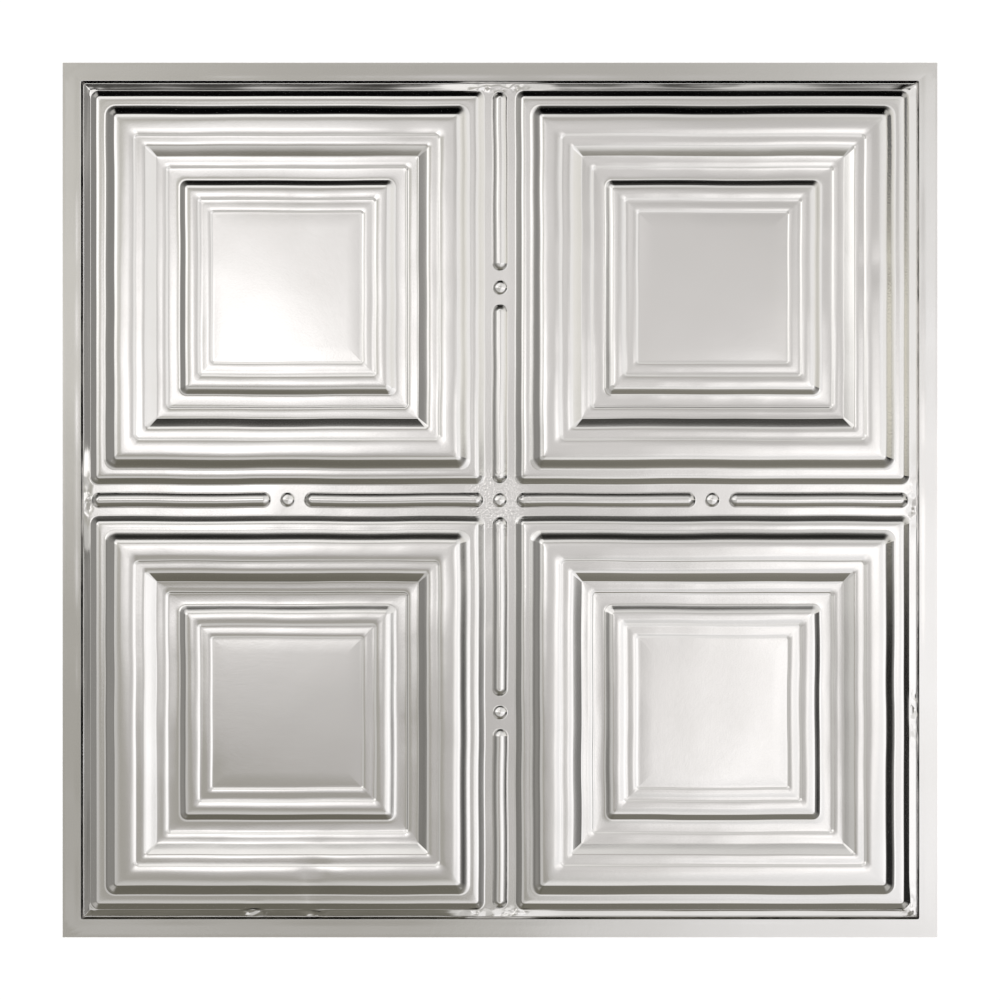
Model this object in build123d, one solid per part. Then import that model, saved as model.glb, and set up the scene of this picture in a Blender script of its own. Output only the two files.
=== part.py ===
"""Lay-in ceiling tile: one square of thin sheet steel, pressed into four stepped panels and a cross of beads.

Frame: the tile lies face up on its flange. The origin is the middle of the tile on the underside of the
flange, +X and +Y run along the sides and +Z comes out of the decorated face. Sizes are in millimetres.
"""
import math
import os

from build123d import *

# The sheet and its outline
TILE_SIDE = 603.25  # over the flange, for a grid on two-foot centres
SHEET_THICKNESS = 0.3
FLANGE_WIDTH = 12.7
WALL_HEIGHT = 5.4  # from the flange up to the flat border
WALL_RUN = 2.3
LEDGE_WIDTH = 5.6  # flat border between the wall and a panel
CROSS_WIDTH = 22.6  # flat border between two panels

# The steps of a panel, in order from its edge to its middle, each with its run in plan and its height
FIRST_RISE_RUN = 4.7
FIRST_RISE_HEIGHT = 2.7
SECOND_RISE_RUN = 7.3
SECOND_RISE_HEIGHT = 4.3
UPPER_FALL_RUN = 1.3
UPPER_FALL_HEIGHT = 0.9
MAIN_FALL_RUN = 7.0
MAIN_FALL_HEIGHT = 3.75
LOWER_FALL_RUN = 1.2
LOWER_FALL_HEIGHT = 0.9
RIM_RISE_RUN = 4.6
RIM_RISE_HEIGHT = 2.7
RIM_FALL_RUN = 1.1
RIM_FALL_HEIGHT = 0.7
CENTRE_FALL_RUN = 1.0
CENTRE_FALL_HEIGHT = 0.5

# The flats between those steps, in the same order; the square in the middle takes what is left
FIRST_LEDGE = 5.0
TOP_FLAT = 13.1
UPPER_LEDGE = 6.8
LOWER_LEDGE = 6.5
VALLEY_FLAT = 8.1
RIM_FLAT = 7.9
CENTRE_LEDGE = 7.7

# Radii of the bends, at the middle of the sheet
BEND_RADIUS = 0.7  # the small falls, the feet of the steps and the edges of the beads
WALL_BEND_RADIUS = 0.8
FIRST_TOP_RADIUS = 3.0
SECOND_FOOT_RADIUS = 3.3
SECOND_TOP_RADIUS = 5.0
MAIN_TOP_RADIUS = 3.0
RIM_FOOT_RADIUS = 2.0
RIM_TOP_RADIUS = 4.0

# The beads and dots of the cross
BEAD_WIDTH = 10.8
DOT_WIDTH = 9.8
BEAD_SLOPE_DEG = 29.0
CROWN_RADIUS = 4.0
DOT_GAP = 11.3  # from the middle of a dot to the end of a bead

# Sizes that follow from the ones above
half_tile = TILE_SIDE / 2
wall_foot = half_tile - FLANGE_WIDTH
wall_top = wall_foot - WALL_RUN
panel_outer = wall_top - LEDGE_WIDTH
panel_inner = CROSS_WIDTH / 2
panel_middle = (panel_outer + panel_inner) / 2
panel_half = (panel_outer - panel_inner) / 2
flange_level = SHEET_THICKNESS / 2
border_level = flange_level + WALL_HEIGHT
bead_half_length = (panel_middle - 2 * DOT_GAP) / 2
seam = 1.5  # flat sheet left on each side of a bend where two pieces of the sheet are joined


def turn(a, b, c):
    """The angle, positive to the left, through which a path a, b, c turns at b."""
    before = math.atan2(b[1] - a[1], b[0] - a[0])
    after = math.atan2(c[1] - b[1], c[0] - b[0])
    return (after - before + math.pi) % (2 * math.pi) - math.pi


def side_points(points, radii, shift):
    """One side of the bent sheet: straight runs and arcs at a distance to the left of its middle line.

    Returns a list of (start, middle or None, end), where a middle point marks an arc.
    """
    pieces = []
    here = None
    for i in range(len(points)):
        first, last = i == 0, i == len(points) - 1
        along = points[i], points[min(i + 1, len(points) - 1)]
        if last:
            along = points[i - 1], points[i]
        length = math.dist(*along)
        out = ((along[1][0] - along[0][0]) / length, (along[1][1] - along[0][1]) / length)
        if first or last:
            spot = (points[i][0] - shift * out[1], points[i][1] + shift * out[0])
            if last:
                pieces.append((here, None, spot))
            here = spot
            continue
        angle = turn(points[i - 1], points[i], points[i + 1])
        tangent = radii[i] * math.tan(abs(angle) / 2)
        back = math.dist(points[i - 1], points[i])
        into = ((points[i][0] - points[i - 1][0]) / back, (points[i][1] - points[i - 1][1]) / back)
        sign = 1 if angle > 0 else -1
        begin = (points[i][0] - tangent * into[0], points[i][1] - tangent * into[1])
        hub = (begin[0] - sign * radii[i] * into[1], begin[1] + sign * radii[i] * into[0])
        radius = radii[i] - sign * shift
        spots = []
        for part in (0, 0.5, 1):
            heading = math.atan2(into[1], into[0]) + part * angle
            spots.append((hub[0] + sign * radius * math.sin(heading), hub[1] - sign * radius * math.cos(heading)))
        pieces.append((here, None, spots[0]))
        pieces.append((spots[0], spots[1], spots[2]))
        here = spots[2]
    return pieces


def sheet_section(points, radii):
    """The face of a bent sheet of constant thickness that follows a path in the XZ plane.

    Args: points, the corners of the path at the middle of the sheet; radii, the bend radius at each of them.
    """
    upper = side_points(points, radii, SHEET_THICKNESS / 2)
    lower = side_points(points, radii, -SHEET_THICKNESS / 2)
    edges = []
    for start, middle, end in upper + lower:
        ends = (start[0], 0, start[1]), (end[0], 0, end[1])
        if middle is None:
            edges.append(Line(*ends))
        else:
            edges.append(ThreePointArc(ends[0], (middle[0], 0, middle[1]), ends[1]))
    for a, b in ((upper[0][0], lower[0][0]), (upper[-1][2], lower[-1][2])):
        edges.append(Line((a[0], 0, a[1]), (b[0], 0, b[1])))
    return make_face(edges)


def mitred_square(points, radii):
    """A square ring of bent sheet: the path gives distance from the middle and height, the corners are mitred."""
    reach = max(p[0] for p in points)
    run = extrude(sheet_section(points, radii), amount=reach, dir=(0, 1, 0), both=True)
    low = min(p[1] for p in points) - 5
    high = max(p[1] for p in points) + 5
    plan = make_face(Polyline((0, 0), (reach + 5, -reach - 5), (reach + 5, reach + 5), close=True))
    wedge = Pos(0, 0, low) * extrude(plan, amount=high - low)
    quarter = run & wedge
    return Part() + [Rot(0, 0, 90 * k) * quarter for k in range(4)]


def plate(outline, level):
    """Flat sheet in the shape of a plan outline, with its middle at a level."""
    return Pos(0, 0, level - SHEET_THICKNESS / 2) * extrude(outline, amount=SHEET_THICKNESS)


def panel():
    """One stepped panel about its own middle, out to the flat border round it."""
    steps = (
        (FIRST_RISE_RUN, FIRST_RISE_HEIGHT, BEND_RADIUS, FIRST_TOP_RADIUS, FIRST_LEDGE),
        (SECOND_RISE_RUN, SECOND_RISE_HEIGHT, SECOND_FOOT_RADIUS, SECOND_TOP_RADIUS, TOP_FLAT),
        (UPPER_FALL_RUN, -UPPER_FALL_HEIGHT, BEND_RADIUS, BEND_RADIUS, UPPER_LEDGE),
        (MAIN_FALL_RUN, -MAIN_FALL_HEIGHT, MAIN_TOP_RADIUS, BEND_RADIUS, LOWER_LEDGE),
        (LOWER_FALL_RUN, -LOWER_FALL_HEIGHT, BEND_RADIUS, BEND_RADIUS, VALLEY_FLAT),
        (RIM_RISE_RUN, RIM_RISE_HEIGHT, RIM_FOOT_RADIUS, RIM_TOP_RADIUS, RIM_FLAT),
        (RIM_FALL_RUN, -RIM_FALL_HEIGHT, BEND_RADIUS, BEND_RADIUS, CENTRE_LEDGE),
        (CENTRE_FALL_RUN, -CENTRE_FALL_HEIGHT, BEND_RADIUS, BEND_RADIUS, seam),
    )
    at, level = panel_half, border_level
    points = [(at + seam, level)]
    radii = [0]
    for run, rise, outer_bend, inner_bend, flat in steps:
        points += [(at, level), (at - run, level + rise)]
        radii += [outer_bend, inner_bend]
        at, level = at - run - flat, level + rise
    points.append((at, level))
    radii.append(0)
    centre = plate(Rectangle(2 * at, 2 * at), level)
    return mitred_square(points, radii) + centre


def edge_ring():
    """The flange, the wall and the start of the flat border, round the whole tile."""
    points = [
        (half_tile, flange_level),
        (wall_foot, flange_level),
        (wall_top, border_level),
        (wall_top - seam, border_level),
    ]
    return mitred_square(points, [0, WALL_BEND_RADIUS, WALL_BEND_RADIUS, 0])


def crown_points(width):
    """The path across a bead or dot, from flat border to flat border."""
    half = width / 2
    peak = half * math.tan(math.radians(BEAD_SLOPE_DEG))
    return [(-half - seam, 0), (-half, 0), (0, peak), (half, 0), (half + seam, 0)]


def crown_half(width):
    """The half of a bead's section on the outer side of its middle line, for turning about that line."""
    whole = sheet_section(crown_points(width), [0, BEND_RADIUS, CROWN_RADIUS, BEND_RADIUS, 0])
    return split(whole, bisect_by=Plane.YZ, keep=Keep.TOP)


def dot():
    """One round boss about the origin, with a ring of flat border round it."""
    return revolve(crown_half(DOT_WIDTH), axis=Axis.Z, revolution_arc=360)


def bead():
    """One bead along Y about the origin, with its round ends and a strip of flat border round it."""
    straight = bead_half_length - BEAD_WIDTH / 2
    section = sheet_section(crown_points(BEAD_WIDTH), [0, BEND_RADIUS, CROWN_RADIUS, BEND_RADIUS, 0])
    body = extrude(section, amount=straight, dir=(0, 1, 0), both=True)
    end = revolve(crown_half(BEAD_WIDTH), axis=Axis.Z, revolution_arc=180)
    return body + [Pos(0, straight, 0) * end, Rot(0, 0, 180) * Pos(0, straight, 0) * end]


def tile():
    """The whole sheet: panels, edge, beads and dots, joined by the flat border."""
    panel_spots = [(sx * panel_middle, sy * panel_middle) for sx in (-1, 1) for sy in (-1, 1)]
    dot_spots = [(0, 0)] + [(panel_middle * x, panel_middle * y) for x, y in ((1, 0), (-1, 0), (0, 1), (0, -1))]
    bead_spots = [(s * k * panel_middle / 2) for s in (-1, 1) for k in (1, 3)]
    stadium = SlotOverall(2 * (bead_half_length + seam), BEAD_WIDTH + 2 * seam)
    outline = Rectangle(2 * (wall_top - seam), 2 * (wall_top - seam))
    hole = Rectangle(2 * (panel_half + seam), 2 * (panel_half + seam))
    outline -= [Pos(x, y) * hole for x, y in panel_spots]
    outline -= [Pos(x, y) * Circle(DOT_WIDTH / 2 + seam) for x, y in dot_spots]
    outline -= [Pos(at, 0) * stadium for at in bead_spots]
    outline -= [Pos(0, at) * Rot(0, 0, 90) * stadium for at in bead_spots]
    sheet = plate(outline, border_level)
    one_panel, one_dot, one_bead = panel(), dot(), bead()
    pieces = [edge_ring()]
    pieces += [Pos(x, y, 0) * one_panel for x, y in panel_spots]
    pieces += [Pos(x, y, border_level) * one_dot for x, y in dot_spots]
    pieces += [Pos(0, at, border_level) * one_bead for at in bead_spots]
    pieces += [Pos(at, 0, border_level) * Rot(0, 0, 90) * one_bead for at in bead_spots]
    return sheet + pieces


os.makedirs("parts", exist_ok=True)
export_step(tile(), "parts/tile_sheet.step")
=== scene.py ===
"""Looks of the lay-in ceiling tile: pressed tin plate with its waves, drooping edge and crumples.

Frame: the tile lies face up on its flange. The origin is the middle of the tile on the underside of the
flange, +X and +Y run along the sides and +Z comes out of the decorated face. The sheet is worked out in
millimetres and put into the scene in metres.
"""

import logging
import math
from abc import ABC, abstractmethod
from dataclasses import dataclass, field
from enum import Enum

import bpy
import numpy as np
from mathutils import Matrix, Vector
from mathutils.geometry import delaunay_2d_cdt


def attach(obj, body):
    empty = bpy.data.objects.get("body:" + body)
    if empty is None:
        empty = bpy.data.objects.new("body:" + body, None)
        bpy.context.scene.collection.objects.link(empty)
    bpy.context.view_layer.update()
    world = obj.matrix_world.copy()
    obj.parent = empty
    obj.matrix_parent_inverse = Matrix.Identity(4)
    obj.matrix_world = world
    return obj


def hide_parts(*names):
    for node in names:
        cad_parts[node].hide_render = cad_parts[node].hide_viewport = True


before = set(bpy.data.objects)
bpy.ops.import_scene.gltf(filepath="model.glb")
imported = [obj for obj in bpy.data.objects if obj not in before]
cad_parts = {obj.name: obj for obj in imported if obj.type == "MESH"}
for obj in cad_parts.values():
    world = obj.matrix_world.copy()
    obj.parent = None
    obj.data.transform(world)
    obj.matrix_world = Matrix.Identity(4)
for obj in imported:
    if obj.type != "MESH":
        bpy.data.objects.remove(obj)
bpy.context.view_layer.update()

log = logging.getLogger("ceiling_tile")

MM = 0.001
BODY = "root"
NODE = "tile_sheet"
SLOT = "tin_plate"

# sizes that several forms share, in millimetres
BORDER_LEVEL = 5.35  # the sheet's middle line on the flat border
THICKNESS = 0.3
PANEL_MIDDLE = 146.1625
WALL_TOP = 286.625
WALL_FOOT = 288.925
TILE_HALF = 301.625
WELD_DIGITS = 3  # points that agree to this many digits are one point

# sockets of Blender's Mix node for colours
MIX_INPUTS = (0, 6, 7)  # amount, first colour, second colour
MIX_RESULT = 2

Socket = bpy.types.NodeSocket
Colour = tuple[float, float, float]


class Face(Enum):
    """The two faces of the sheet, with the side of the middle line that each lies on."""

    FRONT = 1
    BACK = -1


@dataclass(frozen=True)
class Detail:
    """How finely a face of the sheet is drawn: points along sides and round corners, and steps over bends."""

    panel_side: int
    panel_corner: int
    edge_side: int
    edge_corner: int
    bead_side: int
    bead_end: int
    dot_round: int
    bend_step: float
    fewest: int
    flat_step: float
    border_step: float


DETAIL = {
    Face.FRONT: Detail(
        panel_side=27, panel_corner=7, edge_side=190, edge_corner=3, bead_side=14, bead_end=12, dot_round=32,
        bend_step=math.radians(12.0), fewest=2, flat_step=2.6, border_step=4.0,
    ),
    Face.BACK: Detail(
        panel_side=9, panel_corner=1, edge_side=48, edge_corner=1, bead_side=8, bead_end=4, dot_round=12,
        bend_step=math.radians(24.0), fewest=1, flat_step=12.0, border_step=9.0,
    ),
}


@dataclass(frozen=True)
class Bend:
    """A place on the sheet's middle line: distance from the middle of the form, and slope there in degrees.

    The slope is positive where the sheet rises inwards.
    """

    distance: float
    slope: float


@dataclass
class Patch:
    """A piece of a face: points, the way the face looks at each of them, and faces that index the points."""

    points: np.ndarray
    normals: np.ndarray
    faces: list[tuple[int, ...]]

    def moved(self, across: float, up: float, quarter: int = 0) -> "Patch":
        """The patch turned by quarter turns about Z and then moved in plan.

        Args:
            across: distance along X, in millimetres.
            up: distance along Y, in millimetres.
            quarter: number of quarter turns.

        Returns:
            A new patch with the same faces.
        """
        c, s = ((1, 0), (0, 1), (-1, 0), (0, -1))[quarter % 4]
        turn = np.array(((c, s, 0), (-s, c, 0), (0, 0, 1)), dtype=float)
        return Patch(self.points @ turn + np.array((across, up, 0.0)), self.normals @ turn, self.faces)


def join(patches: list[Patch]) -> Patch:
    """Puts patches into one, without joining their points.

    Args:
        patches: the patches to put together.

    Returns:
        One patch that holds them all.
    """
    faces: list[tuple[int, ...]] = []
    start = 0
    for patch in patches:
        faces += [tuple(i + start for i in f) for f in patch.faces]
        start += len(patch.points)
    return Patch(np.vstack([p.points for p in patches]), np.vstack([p.normals for p in patches]), faces)


def weld(patch: Patch) -> Patch:
    """Joins the points of a patch that lie at the same place and drops faces that shrink to a line.

    Args:
        patch: the patch to weld.

    Returns:
        The welded patch.
    """
    keys = np.round(patch.points, WELD_DIGITS)
    _, first, where = np.unique(keys, axis=0, return_index=True, return_inverse=True)
    where = where.reshape(-1)
    sums = np.zeros((len(first), 3))
    np.add.at(sums, where, patch.normals)
    faces = []
    for face in patch.faces:
        ring = [int(where[i]) for i in face]
        ring = [v for n, v in enumerate(ring) if v != ring[n - 1]]
        if len(ring) > 2 and len(set(ring)) == len(ring):
            faces.append(tuple(ring))
    return Patch(patch.points[first], sums / np.linalg.norm(sums, axis=1, keepdims=True), faces)


def smooth(low: float, high: float, value: np.ndarray) -> np.ndarray:
    """A soft step from 0 at low to 1 at high."""
    t = np.clip((value - low) / (high - low), 0.0, 1.0)
    return t * t * (3.0 - 2.0 * t)


@dataclass(frozen=True)
class Section:
    """The middle line of a bent sheet across a form, from outside inwards, given by its bends."""

    bends: tuple[Bend, ...]
    level: float
    thickness: float = THICKNESS
    slight_turn: float = 0.05  # in radians: a bend under this needs no extra points

    def trace(self, face: Face, detail: Detail) -> np.ndarray:
        """Points along one face of the sheet.

        Args:
            face: which face of the sheet is followed.
            detail: how finely bends and flats are divided.

        Returns:
            A row for each point: distance, height, and the sine and the cosine of the slope there.
        """
        shift = face.value * self.thickness / 2
        distance, lean = [self.bends[0].distance], [math.sin(math.radians(self.bends[0].slope))]
        for before, after in zip(self.bends, self.bends[1:]):
            turn = abs(math.radians(after.slope - before.slope))
            count = max(detail.fewest if turn > self.slight_turn else 1, math.ceil(turn / detail.bend_step))
            count = max(count, math.ceil((before.distance - after.distance) / detail.flat_step))
            end = math.sin(math.radians(after.slope))
            for k in range(1, count + 1):
                distance.append(before.distance + (after.distance - before.distance) * k / count)
                lean.append(lean[-1] + (end - lean[-1]) / (count - k + 1))
        out, sine = np.array(distance), np.array(lean)
        cosine = np.sqrt(1.0 - sine ** 2)
        gain = (sine[1:] + sine[:-1]) / (cosine[1:] + cosine[:-1]) * -np.diff(out)
        height = self.level + np.concatenate(((0.0,), np.cumsum(gain)))
        return np.stack((out + shift * sine, height + shift * cosine, sine, cosine), axis=1)


@dataclass(frozen=True)
class Loop:
    """A closed ring of points that is the same side and bend over and over, anticlockwise from the right.

    The bend is an arc about a centre at (across, straight), and the side runs up to its start.
    """

    side_at: float
    straight: float
    across: float
    radius: float
    turns: int

    @classmethod
    def square(cls, half: float, radius: float) -> "Loop":
        """A square with rounded corners, by half its width."""
        return cls(half, half - radius, half - radius, radius, 4)

    @classmethod
    def slot(cls, straight: float, offset: float) -> "Loop":
        """A slot along Y with round ends, by half its straight sides and half its width."""
        return cls(offset, straight, 0.0, offset, 2)

    def points(self, side: int, bend: int) -> tuple[np.ndarray, np.ndarray, np.ndarray]:
        """Points round the ring.

        Args:
            side: number of points along each side.
            bend: number of points round each bend.

        Returns:
            The points, the outward directions in plan, and the bend's angle at each point, or -1 on a side.
        """
        along = np.linspace(-self.straight, self.straight, side + 1)[:-1]
        angle = np.linspace(0.0, 2 * math.pi / self.turns, bend + 1)[:-1]
        out_x = np.concatenate((np.ones(side), np.cos(angle)))
        out_y = np.concatenate((np.zeros(side), np.sin(angle)))
        x = np.concatenate((np.full(side, self.side_at), self.across + self.radius * np.cos(angle)))
        y = np.concatenate((along, self.straight + self.radius * np.sin(angle)))
        spots, outs = [], []
        for quarter in range(4):
            if quarter % (4 // self.turns) == 0:
                spots.append(np.stack((x, y), axis=1))
                outs.append(np.stack((out_x, out_y), axis=1))
            x, y, out_x, out_y = -y, x, -out_y, out_x
        bent = np.concatenate((np.full(side, -1.0), angle))
        return np.vstack(spots), np.vstack(outs), np.tile(bent, self.turns)


def strips(rows: int, around: int, flip: bool) -> list[tuple[int, ...]]:
    """Four-sided faces between closed rings of points, from the outermost ring inwards.

    Args:
        rows: number of rings.
        around: number of points in each ring.
        flip: True for the back face, which looks down.

    Returns:
        The faces, by index.
    """
    faces = []
    for i in range(rows - 1):
        for j in range(around):
            k = (j + 1) % around
            face = (i * around + j, i * around + k, (i + 1) * around + k, (i + 1) * around + j)
            faces.append(face[::-1] if flip else face)
    return faces


class Form(ABC):
    """A form of the sheet that is drawn in closed rings of points, from outside inwards."""

    @abstractmethod
    def rows(self, face: Face, detail: Detail) -> np.ndarray:
        """A row for each ring: distance from the middle, height, and sine and cosine of the slope."""

    @abstractmethod
    def ring(self, distance: float, detail: Detail) -> tuple[np.ndarray, np.ndarray]:
        """The points of a ring at a distance from the middle, and how the form leans in plan at each."""

    @abstractmethod
    def meeting(self) -> float:
        """The distance from the middle at which the form meets the flat border."""

    def outline(self, detail: Detail) -> np.ndarray:
        """The ring of points where the form meets the flat border."""
        return self.ring(self.meeting(), detail)[0]

    def patch(self, face: Face, detail: Detail) -> Patch:
        """One face of the form about its own middle.

        Args:
            face: which face of the sheet.
            detail: how finely it is drawn.

        Returns:
            The patch, with strips of faces between its rings.
        """
        points, normals = [], []
        for distance, height, lean, rise in self.rows(face, detail):
            spots, outs = self.ring(distance, detail)
            look = np.column_stack((outs * lean, np.full(len(spots), rise)))
            points.append(np.column_stack((spots, np.full(len(spots), height))))
            normals.append(look / np.linalg.norm(look, axis=1, keepdims=True))
        faces = strips(len(points), len(points[0]), face is Face.BACK)
        return Patch(np.vstack(points), np.vstack(normals) * face.value, faces)


@dataclass(frozen=True)
class Step:
    """One rise or fall of a panel, by distances in millimetres inwards from the panel's edge.

    The bends pair a distance with the slope there in degrees. The corners pair one with the radius that the
    panel's square has there in plan.
    """

    bends: tuple[tuple[float, float], ...]
    corners: tuple[tuple[float, float], ...]


FIRST_RISE = Step(
    bends=(
        (-1.4, 0.0), (-1.25, 0.0), (-0.3, 27.5), (2.6, 30.0), (3.5, 27.5), (4.6, 10.0), (5.6, 3.0),
        (7.5, 0.0),
    ),
    corners=((-2.0, 6.4), (0.0, 5.2), (4.6, 1.2)),
)
SECOND_RISE = Step(
    bends=(
        (9.0, 0.5), (10.3, 24.0), (13.4, 31.5), (14.6, 31.2), (15.5, 29.2), (16.5, 25.5), (17.4, 11.5),
        (18.6, 4.2),
    ),
    corners=((7.2, 6.2), (9.0, 7.4), (17.6, 1.5)),
)
UPPER_FALL = Step(
    bends=((21.5, 0.8), (25.5, -0.7), (29.5, -5.0), (30.3, -25.0), (30.8, -25.0), (31.5, -1.5), (33.0, 0.0)),
    corners=((23.0, 4.5), (29.7, 4.0), (31.3, 2.2)),
)
MAIN_FALL = Step(
    bends=(
        (34.8, -0.5), (37.0, -4.5), (38.0, -10.0), (38.9, -26.0), (42.0, -28.5), (44.5, -29.0), (45.1, -4.0),
    ),
    corners=((34.5, 2.4), (37.0, 2.0), (45.1, 0.8)),
)
LOWER_FALL = Step(
    bends=(
        (46.5, -2.0), (48.5, -1.0), (51.3, -5.0), (52.0, -26.0), (52.5, -27.0), (53.1, -4.0), (54.5, -1.5),
    ),
    corners=((48.0, 4.0), (51.2, 3.6), (53.1, 1.8)),
)
RIM = Step(
    bends=(
        (58.0, 0.0), (59.8, 2.0), (60.7, 9.0), (61.5, 27.5), (63.2, 29.0), (64.9, 26.0), (65.7, 15.0),
        (66.7, 4.0),
    ),
    corners=((56.5, 5.0), (59.8, 5.6), (66.4, 1.3)),
)
RIM_FALL = Step(
    bends=((69.0, 0.8), (71.5, -3.0), (73.4, -5.0), (74.0, -21.0), (74.5, -22.0), (75.1, -3.0), (77.3, 0.8)),
    corners=((70.0, 3.0), (73.6, 2.6), (75.0, 1.4)),
)
MIDDLE_FALL = Step(
    bends=((79.5, 0.0), (82.1, -4.5), (82.6, -18.0), (83.1, -19.0), (83.7, -1.0), (85.5, 0.0)),
    corners=((79.0, 2.4), (82.3, 2.2), (83.7, 1.0), (134.9, 0.3)),
)


@dataclass
class Panel(Form):
    """One stepped panel: two rises, a flat, three falls, a rim and two small falls to the middle square.

    The steps have soft tops and sharp feet, and the flats between them are bowed.
    """

    half: float = 134.8625
    level: float = BORDER_LEVEL
    seam: float = 1.4
    middle_rings: tuple[float, ...] = (0.82, 0.62, 0.42, 0.22, 0.08, 0.0)
    steps: tuple[Step, ...] = (
        FIRST_RISE, SECOND_RISE, UPPER_FALL, MAIN_FALL, LOWER_FALL, RIM, RIM_FALL, MIDDLE_FALL,
    )
    probe: float = 0.2  # how far apart radii are compared, to each side
    growth_ends: tuple[float, float] = (-0.8, 1.0)

    def section(self) -> Section:
        """The middle line across the panel, from the flat border to the square in the middle."""
        bends = [Bend(self.half - inwards, slope) for step in self.steps for inwards, slope in step.bends]
        return Section(tuple(bends), self.level)

    def plan_radius(self, distance: float) -> float:
        """The corner radius in plan at a distance from the middle of the panel."""
        table = np.array([corner for step in self.steps for corner in step.corners])
        return float(np.interp(self.half - distance, table[:, 0], table[:, 1]))

    def meeting(self) -> float:
        """The distance from the middle at which the panel meets the flat border."""
        return self.half + self.seam

    def rows(self, face: Face, detail: Detail) -> np.ndarray:
        """A row for each ring, on to the rings of the square in the middle.

        Args:
            face: which face of the sheet.
            detail: how finely it is drawn.

        Returns:
            Distance from the middle, height, and sine and cosine of the slope.
        """
        steps = self.section().trace(face, detail)
        reach, level = steps[-1][:2]
        square = [(share * reach, level, 0.0, 1.0) for share in self.middle_rings]
        return np.vstack((steps, square))

    def ring(self, distance: float, detail: Detail) -> tuple[np.ndarray, np.ndarray]:
        """The points of a ring, with the lean eased round its corners.

        Args:
            distance: how far its sides lie from the middle of the panel.
            detail: how finely it is drawn.

        Returns:
            The points, and how the panel leans in plan at each.
        """
        radius = min(self.plan_radius(distance), distance)
        grown = self.plan_radius(distance + self.probe) - self.plan_radius(distance - self.probe)
        growth = np.clip(grown / (2 * self.probe), *self.growth_ends)
        spots, outs, bent = Loop.square(distance, radius).points(detail.panel_side, detail.panel_corner)
        easing = np.where(bent < 0, 1.0, (1.0 - growth) * (np.sin(bent) + np.cos(bent)) + growth)
        return spots, outs / easing[:, None]


@dataclass
class Crown(Form):
    """A bead or a dot of the cross: a rounded ridge with round ends, raised from the flat border."""

    width: float
    straight: float
    level: float = BORDER_LEVEL
    seam: float = 1.0
    edge_slope: float = 43.0
    foot_slope: float = 29.8
    crest_slope: float = 25.0
    crest_half: float = 1.8
    top_slope: float = 3.5
    top_half: float = 0.75
    edge_width: float = 0.95
    foot_radius: float = 1.3

    def section(self) -> Section:
        """The middle line from the flat border to the crest.

        Returns:
            The section, from outside inwards.
        """
        half = self.width / 2
        lean = math.radians(self.edge_slope)
        reach = self.foot_radius * math.tan(lean / 2)
        inner = half - reach * math.cos(lean)
        bends = (
            Bend(half + self.seam, 0.0),
            Bend(half + reach, 0.0),
            Bend(inner, self.edge_slope),
            Bend(inner - self.edge_width, self.foot_slope),
            Bend(self.crest_half, self.crest_slope),
            Bend(self.top_half, self.top_slope),
            Bend(0.0, 0.0),
        )
        return Section(bends, self.level)

    def meeting(self) -> float:
        """The distance from its middle line at which the ridge meets the flat border."""
        return self.width / 2 + self.seam

    def rows(self, face: Face, detail: Detail) -> np.ndarray:
        """A row for each ring: distance from the middle line, height, and sine and cosine of the slope."""
        return self.section().trace(face, detail)

    def ring(self, distance: float, detail: Detail) -> tuple[np.ndarray, np.ndarray]:
        """The points of a ring at a distance from the middle line, and the outward directions there."""
        side, end = (detail.bead_side, detail.bead_end) if self.straight else (0, detail.dot_round // 2)
        return Loop.slot(self.straight, distance).points(side, end)[:2]


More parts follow.
